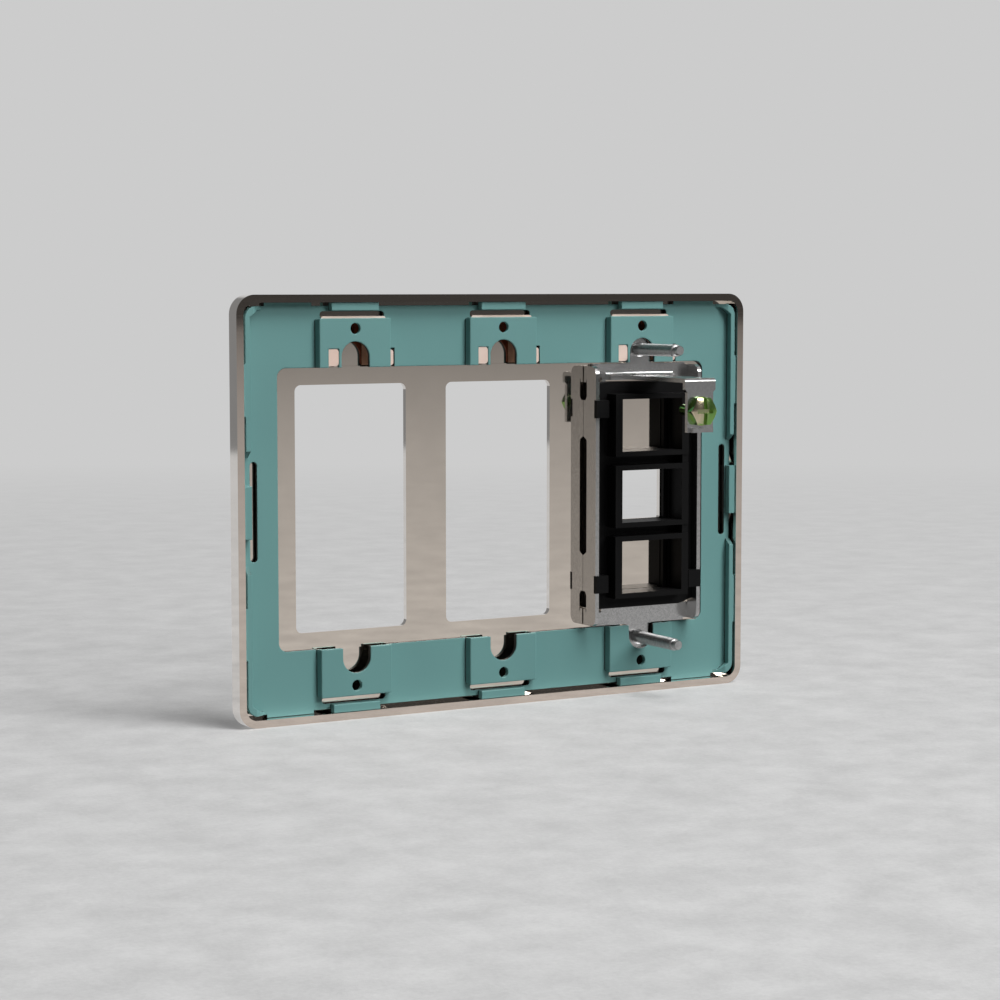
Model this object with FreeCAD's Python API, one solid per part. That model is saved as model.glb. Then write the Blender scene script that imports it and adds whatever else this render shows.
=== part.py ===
import FreeCAD, Part
import math
import os

# Three-gang screwless wall plate seen from its wall side: a metal face plate, the moulded
# frame that it snaps onto, and one gang filled with a three-port jack module on a metal yoke.
# Millimetres. X runs to the left when seen from the wall, +Y towards the wall, +Z up.
# The origin is the centre of the plate-screw holes, on the raised seats that carry them.

# Standard spacings
GANG_PITCH = 46.04        # centre to centre of neighbouring gangs
PLATE_SPACING = 96.8      # upper to lower plate screw
DEVICE_STEP = 6.73        # from a plate screw down to the device screw

# Face plate
PLATE_END = 35.06         # middle of an end gang to the plate's side
PLATE_EDGE = 9.15         # plate screw to the plate's top
PLATE_D = 5.0
PLATE_CORNER = 5.2
PLATE_SKIN = 1.5          # thickness behind the front face, at the raised panel
PLATE_RIM = 2.05          # width of the rim that meets the wall
RECESS_D = 0.6            # inner face's step down round the raised panel, under the frame
RECESS_IN = 0.3           # the panel's edge reaches this far under the frame
FRONT_BREAK = 0.25        # small bevel round the front
OPENING_W = 33.54
OPENING_STEP = 8.27       # device screw to the opening's end
OPENING_CORNER = 1.75
PORT_LEDGE = 0.3          # what the plate covers of the socket, at the sides
PORT_SILL = 0.15          # and above and below
PORT_CORNER = 0.4
HEAD_POCKET_D = 0.35      # hollow in the recess for a device screw's head
LATCH_CUT_LEN = 21.0     # shallow arc cut into the rim at each latch
LATCH_CUT_D = 1.35
LATCH_CUT_LIP = 1.3       # rim left over the arc cut

# Moulded frame
FRAME_T = 0.8
FRAME_LIFT = 0.09         # gap between the frame and the face plate's inner face
FRAME_SIDE_GAP = 0.8      # rim to the frame's plain side edge
FRAME_END_GAP = 0.98      # rim to the frame's plain top or bottom edge
FRAME_CORNER = 3.2
WINDOW_SIDE = 22.31       # middle of an end gang to the window's side
WINDOW_STEP = 3.67        # device screw to the window's edge
WINDOW_CORNER = 2.5
SEAT_GAP = 0.1            # rim to a pad or a latch
WALL_GAP = 0.5            # wall plane to the frame's raised faces
RAISED_Y = 0.0            # rear of the raised seats, latches and lips
PAD_STEP = 7.05           # end pads, from the rim's inner corner
PAD_LEN = 13.9
SIDE_PAD_STEP = 16.1      # side pads, from the rim's inner corner
SIDE_PAD_LEN = 14.0
PAD_IN = 0.9              # root of a pad inside the frame's edge
LIP_T = 1.4
LIP_END_T = 1.0           # lip's width where it turns onto the top and bottom edges
LIP_START = 14.6
LIP_RAMP = 1.7
LIP_END = 5.45            # the lip's last point on the top and bottom edges, from the frame's side
LIP_END_RAMP = 3.2
LIP_BEVEL = (2.6, 1.87)   # straight cut across the lip's inner corner
LIP_OUT = 0.15            # lip past the frame's plain side edge
LATCH_LEN = 14.1
LATCH_W = 2.15
SIDE_SLOT_LEN = 26.7
SIDE_SLOT_W = 2.1
SIDE_BRIDGE_W = 1.75      # springy strip that carries a side latch
END_SLOT_LEN = 19.3
END_SLOT_W = 1.9
END_BRIDGE_W = 1.45

# Raised seats for the device ears
SEAT_W = 21.32
SEAT_DRAFT = 0.54
SEAT_T_UPPER = 1.05       # thinner, with the earthing clip under it
SEAT_T_LOWER = 1.35
SEAT_WALL = 1.0
SEAT_WALL_STEP = 0.1      # wall's taper under the seat's sheet
SEAT_ROUND = 0.3
SEAT_END_ROUND = 0.9      # the upright corners beside the slot
NOTCH_W = 8.45
NOTCH_STEP = 0.93         # the notch's round end is this far inside the device screw
PLATE_HOLE_R = 1.5
CLIP_GATE_IN = 4.93       # opening that bares one leg of the earthing clip
CLIP_GATE_OUT = 8.05
CLIP_GATE_LEN = 5.05
CLIP_SLIT_OUT = 12.9

# Earthing clip under each upper seat
CLIP_T = 0.35
CLIP_GAP = 0.02           # clip to the seat over it
CLIP_SIDE_GAP = 0.08
CLIP_TOP_OVER = 0.55
CLIP_LEG_SHORT = 0.4      # leg's end to the window's edge
CLIP_NOTCH_R = 4.3
CLIP_HOLE_OVER = 0.4      # its hole's radius past the plate-screw hole's
CLIP_TOE = 12.0
CLIP_TOE_H = 4.2
CLIP_CORNER = 0.7
TONGUE_DOWN = 0.1         # tongue's face below the seat's, in the gate
TONGUE_GAP = 0.08         # tongue to the gate's sides
TONGUE_ROUND = 0.9

# Yoke
YOKE_T = 1.2
BAR_LIFT = 0.33           # bar to the face plate's inner face
YOKE_W = 36.04
YOKE_SHORT = 0.3          # bar to the window's edge
FLANGE_D = 6.6            # side wall, from its foot to the rear
FLANGE_SHORT = 0.6        # side wall's end to the bar's edge
FLANGE_ROUND = 2.4
FLANGE_FOOT_GAP = 0.09
BAR_W = 5.2
BAR_RELIEF_W = 4.1        # notch in the bar beside each side wall, where the sheet bends
BAR_RELIEF_D = 1.3
NECK_W = 7.0              # ear, with a round end about the device screw
NECK_ROUND = 1.4
EAR_HOLE_R = 2.2
FOOT_NOTCH_D = 1.75
FOOT_END_LEN = 3.8        # plain foot at each end
FOOT_SHORT_LEN = 5.9      # short notch
FOOT_REST_LEN = 10.3      # plain foot between the notches
FOOT_END_LIFT = 0.25
BEND_R = 1.0

# Earthing strap, one piece with the yoke
STRAP_W = 10.2
STRAP_STEP = 3.4          # bar's edge to the strap's top
STRAP_REACH = 30.9        # from the rear of the yoke's bar to the screw's seat
LEDGE_W = 23.0
LEDGE_D = 2.6
FACE_W = 8.6
FACE_WIDE_LEN = 3.1       # wide part of the strap's face
FACE_NARROW_LEN = 11.9
FACE_BEVEL = 0.8
STRAP_LIP = 1.4
STRAP_LIP_W = 6.8

# Earthing screw
EARTH_UP = 5.9            # above the end of the strap's face
EARTH_R = 1.6
EARTH_FIT = 0.05          # running clearance in the strap
EARTH_LEN = 8.0
HEX_AF = 7.5
HEX_T = 2.2
HEX_DOME_R = 16.0
HEX_FLANGE_R = 4.1
HEX_FLANGE_T = 0.5
HEX_BEVEL = 0.5
HEX_BEVEL_SLOPE = 1.6
DRIVE_SLOT_W = 1.15
DRIVE_SLOT_D = 1.2
DRIVE_CROSS_W = 5.2

# Device screws
SCREW_R = 1.75
SCREW_LEN = 22.0          # under the head
SCREW_NECK_R = 1.5        # plain neck under the head
SCREW_NECK_L = 3.0
GROOVE_AT = 2.0           # groove, back from the tip
GROOVE_W = 0.75
GROOVE_R = 1.25
GROOVE_SLOPE = 0.2
TIP_R = 1.4
TIP_BEVEL = 0.2
HEAD_R = 3.3
HEAD_T = 1.0
HEAD_SLOT_W = 0.9
HEAD_SLOT_D = 0.5
HEAD_SIDE_GAP = 0.6
HEAD_SEAT_GAP = 0.03

# Jack module
MODULE_SIDE_GAP = 0.05
MODULE_END_GAP = 0.1
MODULE_LIFT = 0.3         # gap to the face plate's inner face
MODULE_BASE_T = 3.8
MODULE_CORNER_CUT = 4.4
SOCKET_D = 8.35
SOCKET_W = 25.0
SOCKET_GAP = 2.5          # between neighbouring sockets
SOCKET_MARGIN = 3.2       # outer socket to the module's end
SOCKET_SIDE = 2.3
SOCKET_END = 1.45
SOCKET_MOUTH_W = 17.0
SOCKET_MOUTH_D = 2.4
SOCKET_STEP = 1.1
STAY_W = 2.0
HOOK_LEN = 5.0
HOOK_IN = 7.4             # middle of a clip to the module's end
HOOK_T = 1.2
HOOK_ARM_T = 3.0
HOOK_PROUD = 0.4          # clip's rear above the side wall's edge
HOOK_SHORT = 0.1          # clip's end inside the side wall's outer face
HOOK_GAP = 0.05           # clip to its notch in the side wall

# Worked-out sizes and places
DEVICE_SPACING = PLATE_SPACING - 2 * DEVICE_STEP
PLATE_W = 2 * (GANG_PITCH + PLATE_END)
PLATE_H = PLATE_SPACING + 2 * PLATE_EDGE
OPENING_H = DEVICE_SPACING - 2 * OPENING_STEP
WINDOW_W = 2 * (GANG_PITCH + WINDOW_SIDE)
WINDOW_H = DEVICE_SPACING - 2 * WINDOW_STEP
YOKE_H = WINDOW_H - 2 * YOKE_SHORT
FLANGE_LEN = YOKE_H - 2 * FLANGE_SHORT
MODULE_W = YOKE_W - 2 * (YOKE_T + MODULE_SIDE_GAP)
MODULE_H = YOKE_H - 2 * (BAR_W + MODULE_END_GAP)
SOCKET_PITCH = (MODULE_H - 2 * SOCKET_MARGIN + SOCKET_GAP) / 3
SOCKET_H = SOCKET_PITCH - SOCKET_GAP
SOCKET_MOUTH_H = SOCKET_H - 2 * SOCKET_END
PORT_W = SOCKET_MOUTH_W - 2 * PORT_LEDGE
PORT_H = SOCKET_MOUTH_H - 2 * PORT_SILL
RIM_Y = RAISED_Y + WALL_GAP
FACE_Y = RIM_Y - PLATE_D
FLOOR_Y = FACE_Y + PLATE_SKIN
RECESS_Y = FLOOR_Y - RECESS_D
INNER_X = PLATE_W / 2 - PLATE_RIM
INNER_Z = PLATE_H / 2 - PLATE_RIM
FRAME_FRONT = FLOOR_Y + FRAME_LIFT
FRAME_REAR = FRAME_FRONT + FRAME_T
LATCH_FRONT = RECESS_Y + FRAME_LIFT
FRAME_X = INNER_X - FRAME_SIDE_GAP
FRAME_Z = INNER_Z - FRAME_END_GAP
TOUCH_X = INNER_X - SEAT_GAP
TOUCH_Z = INNER_Z - SEAT_GAP
CLIP_Y = RAISED_Y - SEAT_T_UPPER - CLIP_GAP
DEVICE_Z = DEVICE_SPACING / 2
HOLE_Z = PLATE_SPACING / 2
NOTCH_Z = DEVICE_Z - NOTCH_STEP
CLIP_END_Z = WINDOW_H / 2 + CLIP_LEG_SHORT
CLIP_GATE_Z = WINDOW_H / 2 + CLIP_GATE_LEN
SIDE_PAD_TOP = INNER_Z - SIDE_PAD_STEP
STRAP_TOP = YOKE_H / 2 - STRAP_STEP
FACE_NECK = STRAP_TOP - FACE_WIDE_LEN
FACE_END = FACE_NECK - FACE_NARROW_LEN
EARTH_Z = FACE_END + EARTH_UP
MODULE_X = -GANG_PITCH
GANGS = (GANG_PITCH, 0.0, MODULE_X)
SLOT_TOP_Z = FRAME_Z - END_BRIDGE_W
SEAT_END_Z = SLOT_TOP_Z - END_SLOT_W
YOKE_FRONT = FLOOR_Y + BAR_LIFT
YOKE_REAR = YOKE_FRONT + YOKE_T
FOOT_Y = FLOOR_Y + FLANGE_FOOT_GAP
FLANGE_REAR = FOOT_Y + FLANGE_D
STRAP_REAR = YOKE_REAR + STRAP_REACH
HEAD_Y = YOKE_FRONT - HEAD_SEAT_GAP
HOOK_REAR = FLANGE_REAR + HOOK_PROUD
HOOK_FRONT = HOOK_REAR - HOOK_T
HOOK_Z = MODULE_H / 2 - HOOK_IN
MODULE_FRONT = FLOOR_Y + MODULE_LIFT
MODULE_BASE_REAR = MODULE_FRONT + MODULE_BASE_T
SOCKET_REAR = MODULE_FRONT + SOCKET_D


def vec(x, y, z):
    return FreeCAD.Vector(x, y, z)


def block(x0, x1, y0, y1, z0, z1):
    """A box between two corners, in any order of each pair."""
    low = vec(min(x0, x1), min(y0, y1), min(z0, z1))
    return Part.makeBox(abs(x1 - x0), abs(y1 - y0), abs(z1 - z0), low)


def slab(width, height, radius, y0, y1, x=0.0, z=0.0):
    """A plate with round corners, facing along Y."""
    w, h, r = width / 2, height / 2, radius
    cut = r * math.sqrt(0.5)
    runs = []
    for sx, sz, turn in ((1, 1, 0), (-1, 1, 1), (-1, -1, 0), (1, -1, 1)):
        corner = vec(x + sx * (w - r), y0, z + sz * (h - r))
        side = corner + vec(sx * r, 0, 0)
        end = corner + vec(0, 0, sz * r)
        middle = corner + vec(sx * cut, 0, sz * cut)
        points = (end, middle, side) if turn else (side, middle, end)
        runs.append(points)
    edges = []
    for i, run in enumerate(runs):
        edges.append(Part.Arc(*run).toShape())
        after = runs[(i + 1) % 4][0]
        if (after - run[2]).Length > 1e-6:
            edges.append(Part.makeLine(run[2], after))
    return Part.Face(Part.Wire(edges)).extrude(vec(0, y1 - y0, 0))


def outline_yz(points, x0, x1):
    """A solid whose outline is drawn in Y and Z, spread along X."""
    corners = [vec(x0, y, z) for y, z in points]
    return Part.Face(Part.makePolygon(corners + corners[:1])).extrude(vec(x1 - x0, 0, 0))


def outline_xy(points, z0, z1):
    """A solid whose outline is drawn in X and Y, spread along Z."""
    corners = [vec(x, y, z0) for x, y in points]
    return Part.Face(Part.makePolygon(corners + corners[:1])).extrude(vec(0, 0, z1 - z0))


def outline_xz(points, y0, y1):
    """A solid whose outline is drawn in X and Z, spread along Y."""
    corners = [vec(x, y0, z) for x, z in points]
    return Part.Face(Part.makePolygon(corners + corners[:1])).extrude(vec(0, y1 - y0, 0))


def rod(radius, y0, y1, x, z):
    return Part.makeCylinder(radius, y1 - y0, vec(x, y0, z), vec(0, 1, 0))


def soften(shape, radius, wanted):
    """Rounds the straight edges that the test picks."""
    edges = [e for e in shape.Edges if wanted(e)]
    return shape.makeFillet(radius, edges)


def runs_along(edge, axis):
    first, last = edge.Vertexes[0].Point, edge.Vertexes[-1].Point
    span = last - first
    return span.Length > 1e-6 and abs(abs(span.dot(axis)) - span.Length) < 1e-6


def union(shapes):
    first, rest = shapes[0], shapes[1:]
    return (first.fuse(rest) if rest else first).removeSplitter()


def flip_z(shape):
    return shape.mirror(vec(0, 0, 0), vec(0, 0, 1))


def latch_cut(x, z, out):
    """Arc-shaped hollow in the rim's inner wall, long side on the wall at x, z and bulging out."""
    along = vec(out[1], 0, out[0]) * (LATCH_CUT_LEN / 2)
    foot = vec(x, RECESS_Y, z)
    bulge = foot + vec(out[0], 0, out[1]) * LATCH_CUT_D
    arc = Part.Arc(foot - along, bulge, foot + along).toShape()
    face = Part.Face(Part.Wire([arc, Part.makeLine(foot + along, foot - along)]))
    return face.extrude(vec(0, RIM_Y - LATCH_CUT_LIP - RECESS_Y, 0))


def face_plate():
    """One metal tray with a thin skin, a rim, two device openings and one jack opening."""
    body = slab(PLATE_W, PLATE_H, PLATE_CORNER, FACE_Y, RIM_Y)
    front = [e for e in body.Edges if all(abs(v.Y - FACE_Y) < 1e-6 for v in e.Vertexes)]
    body = body.makeChamfer(FRONT_BREAK, front)
    inner_corner = PLATE_CORNER - PLATE_RIM
    panel = slab(WINDOW_W + 2 * RECESS_IN, WINDOW_H + 2 * RECESS_IN, WINDOW_CORNER + RECESS_IN,
                 RECESS_Y - 1, FLOOR_Y)
    cuts = [slab(2 * INNER_X, 2 * INNER_Z, inner_corner, RECESS_Y, RIM_Y + 1).cut(panel)]
    for x in GANGS[:2]:
        cuts.append(slab(OPENING_W, OPENING_H, OPENING_CORNER, FACE_Y - 1, FLOOR_Y + 1, x))
    cuts.append(slab(PORT_W, PORT_H, PORT_CORNER, FACE_Y - 1, FLOOR_Y + 1, MODULE_X))
    for z in (DEVICE_Z, -DEVICE_Z):
        cuts.append(rod(HEAD_R + HEAD_SIDE_GAP, RECESS_Y - HEAD_POCKET_D, FLOOR_Y + 1, MODULE_X, z))
    for side in (1, -1):
        cuts.append(latch_cut(side * INNER_X, 0.0, (side, 0)))
        for x in GANGS:
            cuts.append(latch_cut(x, side * INNER_Z, (0, side)))
    return body.cut(cuts)


def seat_under(sign):
    """Front of a seat's sheet, which is thinner over the earthing clips."""
    return RAISED_Y - (SEAT_T_UPPER if sign > 0 else SEAT_T_LOWER)


def seat(x, sign):
    """The raised seat over one device ear: a shallow bridge open at both ends."""
    half = SEAT_W / 2
    foot = half + SEAT_DRAFT
    z0, z1 = WINDOW_H / 2, SEAT_END_Z
    outer = outline_xy([(x - foot, FRAME_FRONT), (x - foot, FRAME_REAR), (x - half, RAISED_Y),
                        (x + half, RAISED_Y), (x + foot, FRAME_REAR), (x + foot, FRAME_FRONT)], z0, z1)
    outer = soften(outer, SEAT_ROUND,
                   lambda e: runs_along(e, vec(0, 0, 1)) and abs(e.Vertexes[0].Y - RAISED_Y) < 1e-6)
    outer = outer.common(slab(2 * foot, 2 * z1, SEAT_END_ROUND, FRAME_FRONT - 1, RAISED_Y + 1, x))
    inside = foot - SEAT_WALL
    inner = half - SEAT_WALL + SEAT_WALL_STEP
    under = seat_under(sign)
    hollow = outline_xy([(x - inside, FRAME_FRONT - 1), (x - inside, FRAME_REAR), (x - inner, under),
                         (x + inner, under), (x + inside, FRAME_REAR), (x + inside, FRAME_FRONT - 1)],
                        z0 - 1, z1 + 1)
    bridge = outer.cut(hollow)
    return bridge if sign > 0 else flip_z(bridge)


def seat_space(x, sign):
    """What the flat of the frame gives up to a seat."""
    inside = SEAT_W / 2 + SEAT_DRAFT - SEAT_WALL
    return block(x - inside, x + inside, FRAME_FRONT - 1, RAISED_Y + 1,
                 sign * (WINDOW_H / 2 - 1), sign * SEAT_END_Z)


def seat_cuts(x, sign):
    """Screw notch and plate-screw hole, and above them the two openings for the earthing clip."""
    low = WINDOW_H / 2 - 1
    half = NOTCH_W / 2
    y0, y1 = FRAME_FRONT - 1, RAISED_Y + 1
    cuts = [block(x - half, x + half, y0, y1, sign * low, sign * NOTCH_Z),
            rod(half, y0, y1, x, sign * NOTCH_Z),
            rod(PLATE_HOLE_R, y0, y1, x, sign * HOLE_Z)]
    if sign > 0:
        cuts.append(block(x + CLIP_GATE_IN, x + CLIP_GATE_OUT, y0, y1, low, CLIP_GATE_Z))
        wall = SEAT_W / 2 - SEAT_WALL
        cuts.append(block(x - CLIP_SLIT_OUT, x - wall, y0, seat_under(sign), low, CLIP_GATE_Z))
    return cuts


def end_latch(x, sign):
    """Latch block on the top or bottom edge, seated against the rim."""
    half = LATCH_LEN / 2
    return block(x - half, x + half, LATCH_FRONT, RAISED_Y, sign * (TOUCH_Z - LATCH_W), sign * TOUCH_Z)


def side_latch(sign):
    half = LATCH_LEN / 2
    return block(sign * (TOUCH_X - LATCH_W), sign * TOUCH_X, LATCH_FRONT, RAISED_Y, -half, half)


def side_lips():
    """Upstands along the two sides, which follow the corners and ramp down beside the latches."""
    out_x, out_z = FRAME_X + LIP_OUT, FRAME_Z
    ring = slab(2 * out_x, 2 * out_z, FRAME_CORNER, FRAME_REAR - 0.1, RAISED_Y)
    in_x, in_z = out_x - LIP_T, out_z - LIP_END_T
    bevel_x, bevel_z = in_x - LIP_BEVEL[0], in_z - LIP_BEVEL[1]
    hole = outline_xz([(bevel_x, in_z), (in_x, bevel_z), (in_x, -bevel_z), (bevel_x, -in_z),
                       (-bevel_x, -in_z), (-in_x, -bevel_z), (-in_x, bevel_z), (-bevel_x, in_z)],
                      FRAME_REAR - 1, RAISED_Y + 1)
    turn = FRAME_X - LIP_END
    rise = turn + LIP_END_RAMP
    middle = outline_xy([(-turn, FRAME_REAR - 1), (-turn, FRAME_REAR), (-rise, RAISED_Y + 0.01),
                         (rise, RAISED_Y + 0.01), (turn, FRAME_REAR), (turn, FRAME_REAR - 1)],
                        -PLATE_H, PLATE_H)
    cuts = [hole, middle]
    far = LIP_START + LIP_RAMP
    reach = PLATE_W
    gap = [(FRAME_REAR - 1, -LIP_START), (FRAME_REAR, -LIP_START), (RAISED_Y + 0.01, -far),
           (RAISED_Y + 0.01, far), (FRAME_REAR, LIP_START), (FRAME_REAR - 1, LIP_START)]
    cuts.append(outline_yz(gap, -reach, reach))
    lips = ring.cut(cuts)
    pads = []
    for sx in (1, -1):
        for sz in (1, -1):
            pads.append(block(sx * (out_x - PAD_IN), sx * TOUCH_X, LATCH_FRONT, RAISED_Y,
                              sz * (SIDE_PAD_TOP - SIDE_PAD_LEN), sz * SIDE_PAD_TOP))
    return lips.fuse(pads)


def sub_frame():
    """The moulded frame: thin flat ring, raised seats, side lips and eight sprung latches."""
    flat = slab(2 * FRAME_X, 2 * FRAME_Z, FRAME_CORNER, FRAME_FRONT, FRAME_REAR)
    flat = flat.cut(slab(WINDOW_W, WINDOW_H, WINDOW_CORNER, FRAME_FRONT - 1, 1.0))
    spaces = [seat_space(x, s) for x in GANGS for s in (1, -1)]
    flat = flat.cut(spaces)
    added = [side_lips(), side_latch(1), side_latch(-1)]
    for x in GANGS:
        for s in (1, -1):
            added += [seat(x, s), end_latch(x, s)]
    for sx in (1, -1):
        for sz in (1, -1):
            out = INNER_X - PAD_STEP
            added.append(block(sx * (out - PAD_LEN), sx * out, LATCH_FRONT, FRAME_REAR,
                               sz * (FRAME_Z - PAD_IN), sz * TOUCH_Z))
    body = union([flat] + added)
    cuts = []
    for x in GANGS:
        for s in (1, -1):
            cuts += seat_cuts(x, s)
            cuts.append(slab(END_SLOT_LEN, END_SLOT_W, END_SLOT_W / 2 - 0.01, FRAME_FRONT - 1, FRAME_REAR,
                             x, s * (SLOT_TOP_Z - END_SLOT_W / 2)))
    slot_x = FRAME_X - SIDE_BRIDGE_W - SIDE_SLOT_W / 2
    for s in (1, -1):
        cuts.append(slab(SIDE_SLOT_W, SIDE_SLOT_LEN, SIDE_SLOT_W / 2 - 0.01,
                         FRAME_FRONT - 1, RAISED_Y + 1, s * slot_x))
    return body.cut(cuts).removeSplitter()


def earth_clip(x):
    """Thin springy clip under an upper seat; a tongue stands up in the gate, a toe in the side slit."""
    rear = CLIP_Y
    front = rear - CLIP_T
    half = SEAT_W / 2 - SEAT_WALL + SEAT_WALL_STEP - CLIP_SIDE_GAP
    top = SEAT_END_Z + CLIP_TOP_OVER
    height = top - CLIP_END_Z
    plate = slab(2 * half, height, CLIP_CORNER, front, rear, x, CLIP_END_Z + height / 2)
    toe = slab(CLIP_TOE - CLIP_NOTCH_R, CLIP_TOE_H, CLIP_CORNER, front, rear,
               x - (CLIP_TOE + CLIP_NOTCH_R) / 2, CLIP_END_Z + CLIP_TOE_H / 2)
    body = union([plate, toe])
    cuts = [block(x - CLIP_NOTCH_R, x + CLIP_NOTCH_R, front - 1, rear + 1, CLIP_END_Z - 1, NOTCH_Z),
            rod(CLIP_NOTCH_R, front - 1, rear + 1, x, NOTCH_Z),
            rod(PLATE_HOLE_R + CLIP_HOLE_OVER, front - 1, rear + 1, x, HOLE_Z)]
    root = x + CLIP_GATE_OUT - TONGUE_GAP
    cuts.append(block(x, root - CLIP_T, front - 1, rear + 1, CLIP_END_Z - 1, CLIP_GATE_Z))
    body = body.cut(cuts)
    body = soften(body, CLIP_CORNER,
                  lambda e: runs_along(e, vec(0, 1, 0)) and abs(e.Vertexes[0].Z - CLIP_END_Z) < 1e-6
                  and abs(e.Vertexes[0].X - x + CLIP_NOTCH_R) < 1e-6)
    high = CLIP_GATE_Z - TONGUE_GAP
    flap = block(x + CLIP_GATE_IN + TONGUE_GAP, root, RAISED_Y - TONGUE_DOWN - CLIP_T, RAISED_Y - TONGUE_DOWN,
                 CLIP_END_Z, high)
    flap = soften(flap, TONGUE_ROUND, lambda e: runs_along(e, vec(0, 1, 0)) and e.Vertexes[0].X < root - 1)
    riser = block(root - CLIP_T, root, front, RAISED_Y - TONGUE_DOWN, CLIP_END_Z, high)
    return union([body, riser, flap])


def flange(sign):
    """One side wall of the yoke, with the relief notches along its foot."""
    outer = YOKE_W / 2
    half = FLANGE_LEN / 2
    body = block(MODULE_X + sign * (outer - YOKE_T), MODULE_X + sign * outer,
                 FOOT_Y, FLANGE_REAR, -half, half)
    body = soften(body, FLANGE_ROUND, lambda e: runs_along(e, vec(1, 0, 0))
                  and abs(e.Vertexes[0].Y - FLANGE_REAR) < 1e-6)
    x0, x1 = MODULE_X + sign * (outer + 1), MODULE_X + sign * (outer - YOKE_T - 0.01)
    top = FOOT_Y + FOOT_NOTCH_D
    slope = 0.6 * FOOT_NOTCH_D
    far = half - FOOT_END_LEN
    near = far - FOOT_SHORT_LEN
    mid = near - FOOT_REST_LEN
    below = FOOT_Y - 1
    cuts = [outline_yz([(below, -mid), (FOOT_Y, -mid), (top, slope - mid), (top, mid - slope), (FOOT_Y, mid),
                        (below, mid)], x0, x1)]
    for s in (1, -1):
        cuts.append(outline_yz([(below, s * near), (FOOT_Y + slope, s * near), (top, s * (near + slope)),
                                (top, s * far), (below, s * far)], x0, x1))
        cuts.append(block(x0, x1, below, FOOT_Y + FOOT_END_LIFT, s * far, s * (half + 1)))
        reach = HOOK_LEN / 2 + HOOK_GAP
        cuts.append(block(x0, x1, HOOK_FRONT - HOOK_GAP, FLANGE_REAR + 1,
                          s * (HOOK_Z - reach), s * (HOOK_Z + reach)))
    return body.cut(cuts)


def ear(sign):
    """Narrow tab with a round end and a round hole, which takes one device screw."""
    x = MODULE_X
    half = NECK_W / 2
    neck = block(x - half, x + half, YOKE_FRONT, YOKE_REAR, YOKE_H / 2 - BAR_W, DEVICE_Z)
    body = union([neck, rod(half, YOKE_FRONT, YOKE_REAR, x, DEVICE_Z)])
    body = body.cut(rod(EAR_HOLE_R, YOKE_FRONT - 1, YOKE_REAR + 1, x, DEVICE_Z))
    return body if sign > 0 else flip_z(body)


def strap():
    """Earthing strap: back from the top bar, down at its end, and a small lip under the screw."""
    x = MODULE_X
    under = STRAP_TOP - YOKE_T
    run = block(x - STRAP_W / 2, x + STRAP_W / 2, YOKE_FRONT, STRAP_REAR, under, STRAP_TOP)
    inner = STRAP_REAR - YOKE_T
    half, low = STRAP_W / 2, FACE_W / 2
    neck = FACE_NECK - FACE_BEVEL
    face = outline_xz([(x - half, STRAP_TOP), (x - half, FACE_NECK), (x - low, neck), (x - low, FACE_END),
                       (x + low, FACE_END), (x + low, neck), (x + half, FACE_NECK), (x + half, STRAP_TOP)],
                      inner, STRAP_REAR)
    lip = block(x - STRAP_LIP_W / 2, x + STRAP_LIP_W / 2, inner, STRAP_REAR + STRAP_LIP,
                FACE_END, FACE_END + YOKE_T)
    tongue = union([run, face, lip])
    tongue = soften(tongue, BEND_R, lambda e: runs_along(e, vec(1, 0, 0))
                    and abs(e.Vertexes[0].Z - STRAP_TOP) < 1e-6 and abs(e.Vertexes[0].Y - STRAP_REAR) < 1e-6)
    ledge = block(x - LEDGE_W / 2, x + LEDGE_W / 2, YOKE_FRONT, YOKE_REAR + LEDGE_D, under, STRAP_TOP)
    hole = rod(EARTH_R + EARTH_FIT, inner - 1, STRAP_REAR + 1, x, EARTH_Z)
    return [tongue.cut(hole), ledge]


def yoke():
    """Bent metal yoke: two bars, two side walls, two ears and the earthing strap, all one sheet."""
    half_w = YOKE_W / 2
    pieces = [flange(1), flange(-1)]
    for s in (1, -1):
        inner = YOKE_H / 2 - BAR_W
        pieces.append(block(MODULE_X - half_w, MODULE_X + half_w, YOKE_FRONT, YOKE_REAR,
                            s * inner, s * FLANGE_LEN / 2))
        pieces.append(block(MODULE_X - half_w + FLANGE_ROUND, MODULE_X + half_w - FLANGE_ROUND,
                            YOKE_FRONT, YOKE_REAR, s * inner, s * YOKE_H / 2))
        pieces.append(ear(s))
    cuts = [block(MODULE_X - LEDGE_W / 2, MODULE_X + LEDGE_W / 2, YOKE_FRONT - 1, YOKE_REAR + 1,
                  YOKE_H / 2 - BAR_W - 1, STRAP_TOP - YOKE_T)]
    edge = MODULE_X + half_w - YOKE_T
    low = YOKE_H / 2 - BAR_W - 1
    for s in (1, -1):
        cuts.append(block(edge - BAR_RELIEF_W, edge, YOKE_FRONT - 1, YOKE_REAR + 1,
                          s * low, s * (low + 1 + BAR_RELIEF_D)))
    body = union([union(pieces).cut(cuts)] + strap())
    body = soften(body, NECK_ROUND, lambda e: runs_along(e, vec(0, 1, 0))
                  and abs(abs(e.Vertexes[0].X - MODULE_X) - NECK_W / 2) < 1e-6
                  and abs(abs(e.Vertexes[0].Z) - YOKE_H / 2) < 1e-6)
    return soften(body, BEND_R, lambda e: runs_along(e, vec(1, 0, 0))
                  and abs(e.Vertexes[0].Z - STRAP_TOP) < 1e-6 and abs(e.Vertexes[0].Y - YOKE_REAR) < 1e-6)


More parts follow.
